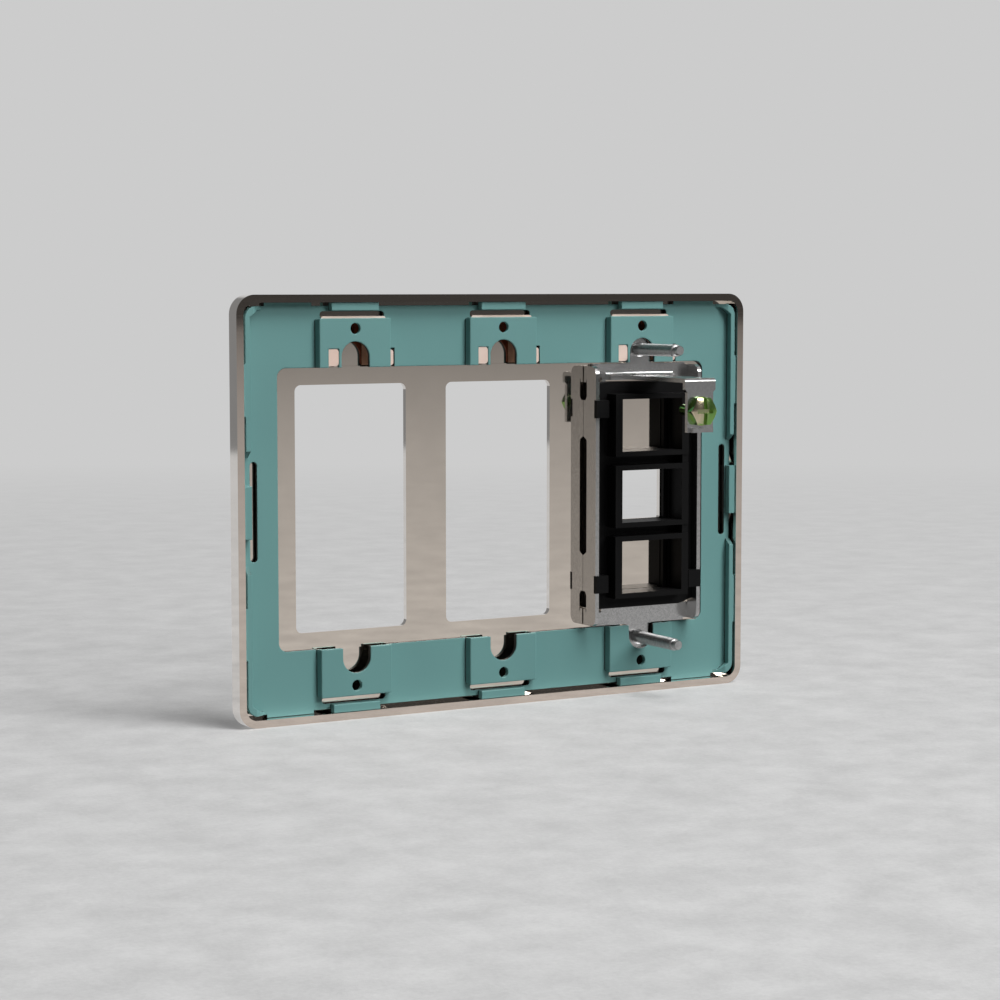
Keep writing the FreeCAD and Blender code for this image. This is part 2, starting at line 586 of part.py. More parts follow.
def jack_module():
    """Moulded carrier with three sideways jack sockets, clipped over the yoke's side walls."""
    x = MODULE_X
    half_w, half_h = MODULE_W / 2, MODULE_H / 2
    cut = MODULE_CORNER_CUT
    base = outline_xz([(x + half_w, half_h), (x + half_w, -half_h), (x - half_w + cut, -half_h),
                       (x - half_w, -half_h + 0.3 * cut), (x - half_w, half_h)],
                      MODULE_FRONT, MODULE_BASE_REAR)
    pieces = [base]
    half = SOCKET_W / 2
    for k in (1, 0, -1):
        z = k * SOCKET_PITCH
        pieces.append(block(x - half, x + half, MODULE_FRONT, SOCKET_REAR,
                            z - SOCKET_H / 2, z + SOCKET_H / 2))
    reach = SOCKET_PITCH + SOCKET_H / 2
    pieces.append(block(x - half, x - half + STAY_W, MODULE_FRONT, SOCKET_REAR - 0.3, -reach, reach))
    for sx in (1, -1):
        for sz in (1, -1):
            pieces += hook(sx, sz)
    body = union(pieces)
    cuts = []
    for k in (1, 0, -1):
        z = k * SOCKET_PITCH
        w = half - SOCKET_SIDE
        h = SOCKET_MOUTH_H / 2
        mouth = SOCKET_MOUTH_W / 2
        step = MODULE_FRONT + SOCKET_MOUTH_D
        cuts.append(block(x - w, x + w, step, SOCKET_REAR + 1, z - h, z + h))
        cuts.append(block(x - mouth - SOCKET_STEP, x + mouth + SOCKET_STEP, step - SOCKET_STEP, step + 0.1,
                          z - h, z + h))
        cuts.append(block(x - mouth, x + mouth, MODULE_FRONT - 1, step, z - h, z + h))
    return body.cut(cuts).removeSplitter()


def hook(sx, sz):
    """One clip of the module: an arm from its base whose end lies in a notch of a side wall."""
    x = MODULE_X
    inner = MODULE_W / 2
    z0, z1 = sz * (HOOK_Z - HOOK_LEN / 2), sz * (HOOK_Z + HOOK_LEN / 2)
    arm = block(x + sx * (inner - HOOK_ARM_T), x + sx * inner, MODULE_BASE_REAR - 1, HOOK_REAR, z0, z1)
    over = block(x + sx * (inner - 1), x + sx * (YOKE_W / 2 - HOOK_SHORT), HOOK_FRONT, HOOK_REAR, z0, z1)
    return [arm, over]


def device_screw(z):
    """Headed screw that fixes the yoke through the frame's notch, with a groove near its tip."""
    x = MODULE_X
    tip = HEAD_Y + SCREW_LEN
    neck = HEAD_Y + SCREW_NECK_L
    groove = tip - GROOVE_AT
    front = HEAD_Y - HEAD_T
    after = groove + GROOVE_W
    half = [(0, front), (HEAD_R, front), (HEAD_R, HEAD_Y), (SCREW_NECK_R, HEAD_Y), (SCREW_NECK_R, neck),
            (SCREW_R, neck), (SCREW_R, groove), (GROOVE_R, groove + GROOVE_SLOPE), (GROOVE_R, after),
            (TIP_R, after), (TIP_R, tip - TIP_BEVEL), (TIP_R - TIP_BEVEL, tip), (0, tip)]
    points = [vec(x + r, y, z) for r, y in half]
    body = Part.Face(Part.makePolygon(points + points[:1])).revolve(vec(x, 0, z), vec(0, 1, 0), 360)
    slot = block(x - HEAD_R, x + HEAD_R, front - 1, front + HEAD_SLOT_D,
                 z - HEAD_SLOT_W / 2, z + HEAD_SLOT_W / 2)
    return body.cut(slot)


def dome_drop(radius):
    """How far the domed face of the hexagon has fallen at a radius."""
    return HEX_DOME_R - math.sqrt(HEX_DOME_R ** 2 - radius ** 2)


def earth_screw():
    """Hexagon screw with a round flange and a slot, at the end of the strap."""
    x, z = MODULE_X, EARTH_Z
    under = STRAP_REAR
    corner = HEX_AF / math.sqrt(3)
    ring = [(x + corner * math.cos(math.radians(a)), z + corner * math.sin(math.radians(a)))
            for a in range(0, 360, 60)]
    top = under + HEX_FLANGE_T + HEX_T
    head = outline_xz(ring, under, top)
    small_r = HEX_AF / 2 - HEX_BEVEL / 4
    big_r = small_r + HEX_T * HEX_BEVEL_SLOPE
    face_edge = top - dome_drop(small_r)
    low, outer, rim, crown = (vec(x, under, z), vec(x + big_r, under, z), vec(x + small_r, face_edge, z),
                              vec(x, top, z))
    half_way = vec(x + small_r / 2, top - dome_drop(small_r / 2), z)
    edges = [Part.makeLine(low, outer), Part.makeLine(outer, rim), Part.Arc(rim, half_way, crown).toShape(),
             Part.makeLine(crown, low)]
    bell = Part.Face(Part.Wire(edges)).revolve(vec(x, under, z), vec(0, 1, 0), 360)
    head = head.common(bell)
    flange_disc = rod(HEX_FLANGE_R, under, under + HEX_FLANGE_T, x, z)
    shank = rod(EARTH_R, under - EARTH_LEN, under + 0.1, x, z)
    body = union([head, flange_disc, shank])
    slot = block(x - DRIVE_SLOT_W / 2, x + DRIVE_SLOT_W / 2, top - DRIVE_SLOT_D, top + 1,
                 z - HEX_AF, z + HEX_AF)
    cross = block(x - DRIVE_CROSS_W / 2, x + DRIVE_CROSS_W / 2, top - DRIVE_SLOT_D, top + 1,
                  z - DRIVE_SLOT_W / 2, z + DRIVE_SLOT_W / 2)
    return body.cut([slot, cross])


def write_parts():
    os.makedirs("parts", exist_ok=True)
    nodes = {"face_plate": face_plate(), "sub_frame": sub_frame(), "yoke": yoke(),
             "jack_module": jack_module(), "device_screw_top": device_screw(DEVICE_Z),
             "device_screw_bottom": device_screw(-DEVICE_Z), "earth_screw": earth_screw()}
    for name, x in zip(("left", "middle", "right"), GANGS):
        nodes["earth_clip_" + name] = earth_clip(x)
    for name, shape in nodes.items():
        solids = shape.Solids
        print(name, "solids", len(solids), "valid", shape.isValid(), "volume", round(shape.Volume, 1))
        shape = solids[0] if len(solids) == 1 else Part.makeCompound(solids)
        shape.exportStep("parts/" + name + ".step")


write_parts()
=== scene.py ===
# %% [markdown]
# A three-gang screwless wall plate, seen from the side that lies on the wall.
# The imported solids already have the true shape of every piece. This script gives each piece the
# finish of the real one, with the relief that is too fine for the solids, and sets up the table,
# the light and the camera.
# All lengths are in metres, +Y points to the wall and +Z up.

# %% Load the frame
import math
import bpy
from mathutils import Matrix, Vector


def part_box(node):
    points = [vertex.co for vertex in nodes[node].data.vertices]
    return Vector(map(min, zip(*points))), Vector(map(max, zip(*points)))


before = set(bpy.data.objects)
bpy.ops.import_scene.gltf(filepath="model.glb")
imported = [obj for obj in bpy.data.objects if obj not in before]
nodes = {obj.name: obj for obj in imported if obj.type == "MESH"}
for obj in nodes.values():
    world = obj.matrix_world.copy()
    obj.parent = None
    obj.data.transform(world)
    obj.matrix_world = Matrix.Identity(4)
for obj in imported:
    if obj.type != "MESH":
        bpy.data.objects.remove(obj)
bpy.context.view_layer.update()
print("nodes:", ", ".join(sorted(nodes)))

MM = 0.001

# %% [markdown]
# The plate stands on the table with its lower edge. The height of that edge is read from the
# solids, so that the table follows the model.

# %% Height of the table
table_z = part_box("face_plate")[0].z
print("table at", round(table_z, 5))


# %% [markdown]
# Materials are node trees. Short helpers add a node, set its values and join it up, so that each
# finish below reads as a list of its layers.

# %% Adding and joining nodes
def feed(tree, node, **values):
    """Joins sockets to a node's inputs and sets the other values."""
    for key, value in values.items():
        target = node.inputs[key.replace("_", " ")]
        if isinstance(value, bpy.types.NodeSocket):
            tree.links.new(value, target)
        else:
            target.default_value = value
    return node


def add(tree, kind, **values):
    """Adds a node; names with an underscore in front are its settings, the others its inputs."""
    node = tree.nodes.new(kind)
    for key, value in values.items():
        if key.startswith("_"):
            setattr(node, key[1:], value)
    return feed(tree, node, **{k: v for k, v in values.items() if not k.startswith("_")})


def new_tree(name):
    """An empty material with its Principled shader and output, and its Object coordinates."""
    material = bpy.data.materials.new(name)
    material.use_nodes = True
    tree = material.node_tree
    tree.nodes.clear()
    output = tree.nodes.new("ShaderNodeOutputMaterial")
    shader = tree.nodes.new("ShaderNodeBsdfPrincipled")
    tree.links.new(shader.outputs["BSDF"], output.inputs["Surface"])
    where = tree.nodes.new("ShaderNodeTexCoord").outputs["Object"]
    return material, tree, shader, where


# %% [markdown]
# Patterns use Object coordinates: every piece sits at the origin, so one pattern runs on from piece
# to piece at its real size in metres. Masks by place or by normal tell one side of a piece from
# another, so that one material can serve the whole piece.

# %% Places, normals and masks
def stretched(tree, vector, scale):
    """Coordinates squeezed or stretched along each axis."""
    return add(tree, "ShaderNodeMapping", _vector_type="POINT",
               Vector=vector, Scale=scale).outputs["Vector"]


def parts(tree, vector):
    """The X, Y and Z of a vector."""
    node = add(tree, "ShaderNodeSeparateXYZ", Vector=vector)
    return [node.outputs[axis] for axis in "XYZ"]


def normal_parts(tree, kind="Normal"):
    """The X, Y and Z of the surface's smoothed normal, or of its "True Normal"."""
    return parts(tree, tree.nodes.new("ShaderNodeNewGeometry").outputs[kind])


def levels(tree, value, low, high, out_low=0.0, out_high=1.0):
    """Maps a range of a value onto another."""
    return add(tree, "ShaderNodeMapRange", Value=value, From_Min=low, From_Max=high,
               To_Min=out_low, To_Max=out_high).outputs["Result"]


def calc(tree, operation, first, second):
    """What a sum, product or other operation makes of two sockets or values."""
    node = add(tree, "ShaderNodeMath", _operation=operation)
    for socket, value in zip(node.inputs, (first, second)):
        if isinstance(value, float):
            socket.default_value = value
        else:
            tree.links.new(value, socket)
    return node.outputs["Value"]


def product(tree, *factors):
    """The product of two or more sockets."""
    whole = factors[0]
    for factor in factors[1:]:
        whole = calc(tree, "MULTIPLY", whole, factor)
    return whole


# %% [markdown]
# A finish is a base colour with another mixed over it, a roughness that follows a noise, and a
# relief too fine for the mesh, which only bends the light.

# %% Colours, roughness and relief
# Nearly all of a noise lies between these two values.
NOISE_LOW, NOISE_HIGH = 0.3, 0.7


def spread(tree, value, out_low=0.0, out_high=1.0):
    """Maps the part of a noise that matters onto a range."""
    return levels(tree, value, NOISE_LOW, NOISE_HIGH, out_low, out_high)


def mixed(tree, mask, first, second):
    """Mixes two colours, given as values or as sockets, by a mask."""
    node = add(tree, "ShaderNodeMix", _data_type="RGBA", Factor=mask)
    for socket, colour in (("A", first), ("B", second)):
        target = [s for s in node.inputs if s.name == socket and s.type == "RGBA"][0]
        if isinstance(colour, tuple):
            target.default_value = (*colour, 1.0)
        else:
            tree.links.new(colour, target)
    return [s for s in node.outputs if s.type == "RGBA"][0]


def bump(tree, height, depth, strength, under=None):
    """A normal from a height pattern that is depth metres deep, over another normal."""
    node = add(tree, "ShaderNodeBump", Height=height, Distance=depth, Strength=strength)
    if under is not None:
        tree.links.new(under, node.inputs["Normal"])
    return node.outputs["Normal"]


def dress(name, material):
    """Gives a node its material."""
    piece = nodes[name]
    piece.data.materials.clear()
    piece.data.materials.append(material)
    print(piece.name, "is", material.name)


# %% [markdown]
# A rolling mill or a polishing belt leaves long fine lines, and more than one finish here has them.
# So the grain is a node group with named inputs, built once and used with other values in each
# material. A group puts out only masks and heights, never a shader.

# %% Node group for belt grain
GRAIN_STRETCH = (0.012, 1.0, 1.0)
GRAIN_CLOUD_SCALE = 90.0


def new_group(name, number, outputs):
    """An empty group that takes a Vector and a number, with its inner ends."""
    group = bpy.data.node_groups.new(name, "ShaderNodeTree")
    face = group.interface
    face.new_socket(name="Vector", in_out="INPUT", socket_type="NodeSocketVector")
    face.new_socket(name=number, in_out="INPUT", socket_type="NodeSocketFloat")
    for output in outputs:
        face.new_socket(name=output, in_out="OUTPUT", socket_type="NodeSocketFloat")
    start = group.nodes.new("NodeGroupInput")
    end = group.nodes.new("NodeGroupOutput")
    return group, start.outputs["Vector"], start.outputs[number], end


def build_grain_group():
    """Long lines along X, and clouds that break them up."""
    group, where, density, end = new_group("belt_grain", "Density", ("Lines", "Clouds"))
    lines = add(group, "ShaderNodeTexNoise", Scale=density, Detail=4.0, Roughness=0.65,
                Vector=stretched(group, where, GRAIN_STRETCH))
    clouds = add(group, "ShaderNodeTexNoise", Vector=where, Scale=GRAIN_CLOUD_SCALE,
                 Detail=3.0, Roughness=0.5)
    feed(group, end, Lines=lines.outputs["Fac"], Clouds=clouds.outputs["Fac"])
    return group


grain_group = build_grain_group()


def grain(tree, vector, density):
    """Lines and clouds of the grain group."""
    node = add(tree, "ShaderNodeGroup", _node_tree=grain_group, Vector=vector, Density=density)
    return node.outputs["Lines"], node.outputs["Clouds"]


print("shared group:", grain_group.name)

# %% [markdown]
# Fine dust settles on faces that look up. It is a second group, because the plate, the frame and
# the jack module all have a little of it.

# %% Node group for settled dust
DUST_SCALE = 1400.0
DUST_COLOUR = (0.62, 0.60, 0.57)


def build_dust_group():
    """Pale dust that settles on faces that look up, broken up by noise."""
    group, where, amount, end = new_group("settled_dust", "Amount", ("Mask",))
    upward = levels(group, normal_parts(group)[2], 0.2, 1.0, 0.15, 1.0)
    specks = add(group, "ShaderNodeTexNoise", Vector=where, Scale=DUST_SCALE,
                 Detail=5.0, Roughness=0.7)
    lift = levels(group, specks.outputs["Fac"], 0.45, 0.75)
    feed(group, end, Mask=product(group, upward, lift, amount))
    return group


dust_group = build_dust_group()


def dusted(tree, vector, colour, amount):
    """Lays the dust group over a colour."""
    node = add(tree, "ShaderNodeGroup", _node_tree=dust_group, Vector=vector, Amount=amount)
    return mixed(tree, node.outputs["Mask"], colour, DUST_COLOUR)


print("shared group:", dust_group.name)

# %% [markdown]
# The face plate is one metal tray. Its inside is smooth enough to mirror the frame's slots and the
# yoke, while its outside has a belt grain along its length. A mask on the normal tells inside from
# outside, and a mask on the Y coordinate finds the slightly duller rim that lies on the wall, so
# one material serves the whole piece.

# %% Metal of the face plate
PLATE_INSIDE = (0.84, 0.75, 0.66)
PLATE_OUTSIDE = (0.92, 0.885, 0.85)
PLATE_RIM = (0.80, 0.69, 0.605)
PLATE_VEIL = (0.50, 0.45, 0.40)
VEIL_SHARE = 0.10
PLATE_GRAIN = 5000.0
PLATE_GROOVE = 0.003 * MM
PLATE_DUST = 0.06
INSIDE_ROUGHNESS = (0.020, 0.055)
OUTSIDE_ROUGHNESS = (0.020, 0.070)
RIM_FROM = 0.2 * MM
SOFT_STEP = 0.1 * MM


def plate_metal():
    material, tree, shader, where = new_tree("warm_plate_metal")
    lines, clouds = grain(tree, where, PLATE_GRAIN)
    inside = levels(tree, normal_parts(tree)[1], 0.5, 0.8)
    rim = levels(tree, parts(tree, where)[1], RIM_FROM, RIM_FROM + SOFT_STEP)
    inner = mixed(tree, rim, PLATE_INSIDE, PLATE_RIM)
    base = mixed(tree, inside, PLATE_OUTSIDE, inner)
    colour = mixed(tree, spread(tree, clouds, 0.0, VEIL_SHARE), base, PLATE_VEIL)
    roughness = add(tree, "ShaderNodeMix", _data_type="FLOAT", Factor=inside,
                    A=spread(tree, lines, *OUTSIDE_ROUGHNESS),
                    B=spread(tree, lines, *INSIDE_ROUGHNESS))
    grooves = product(tree, lines, calc(tree, "SUBTRACT", 1.0, inside))
    feed(tree, shader, Metallic=1.0, Roughness=roughness.outputs["Result"],
         Base_Color=dusted(tree, where, colour, PLATE_DUST),
         Normal=bump(tree, grooves, PLATE_GROOVE, 0.3))
    return material


dress("face_plate", plate_metal())

# %% [markdown]
# The walls of the frame's slots and notches get a painted shade and are coloured nearly black, and
# so does its underside where the polished plate mirrors it from close by, as a painted dark
# reflection. Masks by place, normal and kind of ray find those faces. The mask of the notches also
# serves the painted shade on the clips that lie behind them.

# %% Masks for the painted shade in the frame
HALF_PITCH = 23.02 * MM
NOTCH_HALF = 4.7 * MM
NOTCH_FROM = 35.0 * MM
NOTCH_WALL_END = 45.6 * MM
NOTCH_LIP = 0.35 * MM
SLOT_TOP = 1.75 * MM
CLOSE_MIRROR = 4.0 * MM


def within(tree, value, low, high, blur):
    """One between two limits, with soft ends."""
    return product(tree, levels(tree, value, low - blur, low),
                   levels(tree, value, high, high + blur, 1.0, 0.0))


def notch_area(tree, where, end):
    """One where the screw notches lie, from a height of 35 mm over the middle to the given end."""
    x, _, z = parts(tree, where)
    aside = calc(tree, "PINGPONG", x, HALF_PITCH)
    across = levels(tree, aside, NOTCH_HALF, NOTCH_HALF + SOFT_STEP, 1.0, 0.0)
    height = calc(tree, "ABSOLUTE", z, 0.0)
    return product(tree, across, within(tree, height, NOTCH_FROM, end, SOFT_STEP))


def painted_shade_mask(tree, where, outward_y):
    """One where shade is painted: on the walls of slots and notches, and on the underside where the
    plate mirrors it.
    """
    depth = parts(tree, where)[1]
    under = levels(tree, depth, -NOTCH_LIP, -NOTCH_LIP + SOFT_STEP, 1.0, 0.0)
    deep = levels(tree, depth, -SLOT_TOP - SOFT_STEP, -SLOT_TOP, 1.0, 0.0)
    notch = product(tree, notch_area(tree, where, NOTCH_WALL_END), under)
    walls = product(tree, within(tree, outward_y, -0.5, 0.5, 0.1),
                    calc(tree, "MAXIMUM", notch, deep))
    rays = tree.nodes.new("ShaderNodeLightPath")
    close = levels(tree, rays.outputs["Ray Length"], CLOSE_MIRROR, 1.5 * CLOSE_MIRROR, 1.0, 0.0)
    underside = levels(tree, outward_y, -0.6, -0.5, 1.0, 0.0)
    mirrored = product(tree, underside, close, rays.outputs["Is Glossy Ray"])
    return calc(tree, "MAXIMUM", walls, mirrored)


# %% [markdown]
# The frame is an injection moulding in a matt blue-green plastic. Such a moulding has an even
# colour with slight flow clouds, and a fine spark-eroded texture that keeps its gloss low. Its
# edges are softly rounded. The small slopes at the ends of the side lips get a painted shade, a
# darker green, because they face the lamps.

# %% Plastic of the frame
FRAME_GREEN = (0.154, 0.338, 0.327)
FRAME_GREEN_DEEP = (0.144, 0.318, 0.310)
# Painted shade: a darker green for the small slopes that face the lamps.
SLOPE_PAINTED_SHADE = (0.085, 0.187, 0.180)
# Painted shade, nearly black, for the walls of slots and notches and the close mirrored underside.
PAINTED_SHADE_BLACK = (0.004, 0.006, 0.006)
FRAME_ROUGHNESS = (0.48, 0.62)
FRAME_DUST = 0.10
EDGE_ROUND = 0.4 * MM
FLOW_SIZE = 30.0 * MM
EROSION = 0.25 * MM
EROSION_DEPTH = 0.01 * MM


def noise(tree, vector, size, detail=3.0, rough=0.5):
    """Soft noise whose lumps are about size metres across."""
    return add(tree, "ShaderNodeTexNoise", Vector=vector, Scale=1.0 / size,
               Detail=detail, Roughness=rough).outputs["Fac"]


def frame_plastic():
    material, tree, shader, where = new_tree("blue_green_moulding")
    flow = noise(tree, stretched(tree, where, (1.0, 1.0, 0.6)), FLOW_SIZE, 2.0)
    colour = mixed(tree, levels(tree, flow, 0.35, 0.65), FRAME_GREEN, FRAME_GREEN_DEEP)
    _, outward_y, outward_z = normal_parts(tree, "True Normal")
    # Painted shade: slopes that face the lamps are coloured a darker green.
    slope = product(tree, within(tree, outward_y, 0.2, 0.97, 0.02),
                    within(tree, outward_z, 0.25, 0.97, 0.02))
    plain = mixed(tree, slope, dusted(tree, where, colour, FRAME_DUST), SLOPE_PAINTED_SHADE)
    erosion = noise(tree, where, EROSION, 4.0, 0.7)
    rounded = add(tree, "ShaderNodeBevel", _samples=6, Radius=EDGE_ROUND).outputs["Normal"]
    feed(tree, shader, Specular_IOR_Level=0.35, Roughness=spread(tree, erosion, *FRAME_ROUGHNESS),
         # Painted shade: the masked walls and the close mirrored underside are coloured nearly
         # black.
         Base_Color=mixed(tree, painted_shade_mask(tree, where, outward_y), plain, PAINTED_SHADE_BLACK),
         Normal=bump(tree, erosion, EROSION_DEPTH, 0.3, rounded))
    return material


dress("sub_frame", frame_plastic())

# %% [markdown]
# The earthing clips are thin rolled bronze with a pale, slightly pink tone. Behind the notch and
# the screw hole their colour is a painted shade of deep red, for metal that there only mirrors its
# own kind.

# %% Bronze of the earthing clips
CLIP_BRONZE = (0.95, 0.77, 0.68)
CLIP_BRONZE_DULL = (0.90, 0.66, 0.55)
# Painted shade: deep red for the clips behind the notch and the screw hole.
CLIP_PAINTED_SHADE = (0.30, 0.105, 0.06)
CLIP_ROUGHNESS = (0.36, 0.5)
CLIP_GRAIN = 7000.0
CLIP_GROOVE = 0.004 * MM
HOLE_END = 50.4 * MM


def clip_bronze():
    material, tree, shader, where = new_tree("pale_bronze_strip")
    lines, clouds = grain(tree, where, CLIP_GRAIN)
    dull = levels(tree, clouds, 0.35, 0.7, 0.0, 0.8)
    colour = mixed(tree, dull, CLIP_BRONZE, CLIP_BRONZE_DULL)
    feed(tree, shader, Metallic=0.65, Roughness=spread(tree, lines, *CLIP_ROUGHNESS),
         # Painted shade: the colour turns deep red where the clips lie behind a notch or screw
         # hole.
         Base_Color=mixed(tree, notch_area(tree, where, HOLE_END), colour, CLIP_PAINTED_SHADE),
         Normal=bump(tree, lines, CLIP_GROOVE, 0.3))
    return material


bronze = clip_bronze()
for side in ("left", "middle", "right"):
    dress("earth_clip_" + side, bronze)

# %% [markdown]
# The yoke is pressed from galvanised sheet. Zinc sets in small crystals that each shine a little
# differently, so a cell pattern shifts the colour and the roughness.

# %% Galvanised sheet of the yoke
ZINC_PALE = (0.56, 0.555, 0.55)
ZINC_DARK = (0.48, 0.475, 0.47)
ZINC_ROUGHNESS = (0.26, 0.18)
CRYSTAL_SCALE = 2600.0
ZINC_FINE = 0.4 * MM
ZINC_RELIEF = 0.002 * MM


def weighted(tree, value, weight, other, clamp=False):
    """A value times a weight, plus another value."""
    node = add(tree, "ShaderNodeMath", _operation="MULTIPLY_ADD", _use_clamp=clamp)
    node.inputs[1].default_value = weight
    tree.links.new(value, node.inputs[0])
    tree.links.new(other, node.inputs[2])
    return node.outputs["Value"]


def galvanised():
    material, tree, shader, where = new_tree("galvanised_sheet")
    cells = add(tree, "ShaderNodeTexVoronoi", _feature="F1", Vector=where,
                Scale=CRYSTAL_SCALE, Randomness=1.0)
    split = add(tree, "ShaderNodeSeparateColor", Color=cells.outputs["Color"])
    fine = noise(tree, where, ZINC_FINE, 4.0, 0.7)
    crystals = levels(tree, split.outputs["Red"], 0.0, 1.0, 0.0, 0.4)
    tone = weighted(tree, fine, 0.6, crystals)
    feed(tree, shader, Metallic=1.0, Roughness=spread(tree, tone, *ZINC_ROUGHNESS),
         Base_Color=mixed(tree, spread(tree, tone), ZINC_DARK, ZINC_PALE),
         Normal=bump(tree, fine, ZINC_RELIEF, 0.2))
    return material


dress("yoke", galvanised())

# %% [markdown]
# The jack module is a black moulding with the same kind of texture as the frame. It gives back
# very little light, even at a flat angle, so that its sockets stay black.

# %% Black plastic of the jack module
MODULE_LOW = (0.0040, 0.0040, 0.0042)
MODULE_HIGH = (0.0055, 0.0054, 0.0056)
MODULE_ROUGHNESS = (0.40, 0.52)
MODULE_DUST = 0.008
MODULE_CLOUD = 20.0 * MM
MODULE_EROSION = 0.3 * MM


def ramp(tree, value, low_colour, high_colour):
    """Runs from one colour to another over the part of a noise that matters."""
    node = add(tree, "ShaderNodeValToRGB", Fac=value)
    stops = ((NOISE_LOW, low_colour), (NOISE_HIGH, high_colour))
    for element, (position, colour) in zip(node.color_ramp.elements, stops):
        element.position = position
        element.color = (*colour, 1.0)
    return node.outputs["Color"]


def module_black():
    material, tree, shader, where = new_tree("black_moulding")
    erosion = noise(tree, where, MODULE_EROSION, 4.0, 0.7)
    colour = ramp(tree, noise(tree, where, MODULE_CLOUD, 2.0), MODULE_LOW, MODULE_HIGH)
    feed(tree, shader, IOR=1.2, Roughness=spread(tree, erosion, *MODULE_ROUGHNESS),
         Base_Color=dusted(tree, where, colour, MODULE_DUST),
         Normal=bump(tree, erosion, EROSION_DEPTH, 0.3))
    return material


dress("jack_module", module_black())

# %% [markdown]
# The two device screws are plated steel. Their thread is fine, so its turns are laid on as a wave
# with the real pitch, over the small marks of rolling.

# %% Plated steel of the device screws
STEEL_LOW = (0.36, 0.36, 0.36)
STEEL_HIGH = (0.58, 0.58, 0.575)
STEEL_ROUGHNESS = (0.38, 0.28)
MARK_SIZE = 0.18 * MM
MARK_DEPTH = 0.01 * MM
THREAD_PITCH = 0.794 * MM
THREAD_DEPTH = 0.25 * MM
WAVE_TURN = 20.0


def screw_steel():
    material, tree, shader, where = new_tree("bright_plated_steel")
    rings = noise(tree, stretched(tree, where, (0.1, 1.0, 0.1)), MARK_SIZE, 3.0, 0.6)
    thread = add(tree, "ShaderNodeTexWave", _wave_type="BANDS", _bands_direction="Y",
                 Vector=where, Scale=math.tau / (WAVE_TURN * THREAD_PITCH), Distortion=0.0)
    marks = bump(tree, rings, MARK_DEPTH, 0.3)
    feed(tree, shader, Metallic=1.0, Roughness=spread(tree, rings, *STEEL_ROUGHNESS),
         Base_Color=ramp(tree, rings, STEEL_LOW, STEEL_HIGH),
         Normal=bump(tree, thread.outputs["Fac"], THREAD_DEPTH, 1.0, marks))
    return material


steel = screw_steel()
dress("device_screw_top", steel)
dress("device_screw_bottom", steel)

# %% [markdown]
# The earthing screw is brass under a green passivated coat. Where a face looks towards the
# viewer its colour turns gold, a painted glint; faces seen at a flat angle stay green, with a
# little gold in blotches at random.

# %% Green-coated brass of the earthing screw
# Painted glint: the gold shown where a face looks towards the viewer.
GLINT_GOLD = (0.80, 0.66, 0.48)
COAT_GREEN = (0.20, 0.44, 0.09)
COAT_ROUGHNESS = (0.14, 0.24)
COAT_BLOTCH = 2.0 * MM
COAT_RELIEF = 0.02 * MM


def green_brass():
    material, tree, shader, where = new_tree("green_coated_brass")
    blotches = noise(tree, where, COAT_BLOTCH)
    # Painted glint: the colour turns gold by how squarely a face looks towards the viewer.
    glance = add(tree, "ShaderNodeLayerWeight", Blend=0.5)
    glint_towards_viewer = levels(tree, glance.outputs["Facing"], 0.13, 0.24, 0.85, 0.0)
    glint_share = weighted(tree, blotches, 0.15, glint_towards_viewer, clamp=True)
    feed(tree, shader, Metallic=1.0, Roughness=spread(tree, blotches, *COAT_ROUGHNESS),
         Base_Color=mixed(tree, glint_share, COAT_GREEN, GLINT_GOLD),
         Normal=bump(tree, blotches, COAT_RELIEF, 0.2))
    return material


dress("earth_screw", green_brass())

# %% [markdown]
# The table and the world show the camera and shiny metal other colours than they throw on the part,
# and they run from one colour to another by place and direction. These helpers do both.

# %% Masks and mixes for the surroundings
VIEW_LEVEL = (-0.5012, -0.8653, 0.0)
BACKGROUND = (0.604, 0.604, 0.604)
ROOM_DARK = (0.05, 0.05, 0.05)
ROOM_SIDE = (0.22, 0.22, 0.22)


def along(tree, where, direction):
    """How far a place lies along a direction, in metres."""
    node = add(tree, "ShaderNodeVectorMath", _operation="DOT_PRODUCT")
    tree.links.new(where, node.inputs[0])
    node.inputs[1].default_value = direction
    return node.outputs["Value"]


def distance_from_middle(tree, where):
    """How far a place lies from the origin, in metres."""
    node = add(tree, "ShaderNodeVectorMath", _operation="LENGTH")
    tree.links.new(where, node.inputs[0])
    return node.outputs["Value"]


def ray_masks(tree):
    """One for camera rays, and one for rays off shiny metal or through glass."""
    rays = tree.nodes.new("ShaderNodeLightPath").outputs
    return rays["Is Camera Ray"], calc(tree, "MAXIMUM", rays["Is Glossy Ray"],
                                       rays["Is Transmission Ray"])


def plain_light(tree, colour, strength=1.0):
    """A surface that simply shows a colour."""
    node = add(tree, "ShaderNodeEmission", Strength=strength)
    if isinstance(colour, tuple):
        node.inputs["Color"].default_value = (*colour, 1.0)
    else:
        tree.links.new(colour, node.inputs["Color"])
    return node.outputs["Emission"]


def mixed_shader(tree, factor, first, second):
    """Mixes two shaders by a factor."""
    node = add(tree, "ShaderNodeMixShader", Fac=factor)
    tree.links.new(first, node.inputs[1])
    tree.links.new(second, node.inputs[2])
    return node.outputs["Shader"]


# %% [markdown]
# The plate stands on a pale mottled table. Behind the plate the table runs off softly into the
# plain pale background, so its colour fades into the background's with the distance. Beside it
# the table ends at a little over a metre. On the camera's side it falls off into the dark of the
# room: the camera doesn't look that way, but the polished inside of the plate does. Even next to
# the plate a share of that pale glow is mixed into what the camera sees, a painted light that
# lightens the plate's shadow on the table.

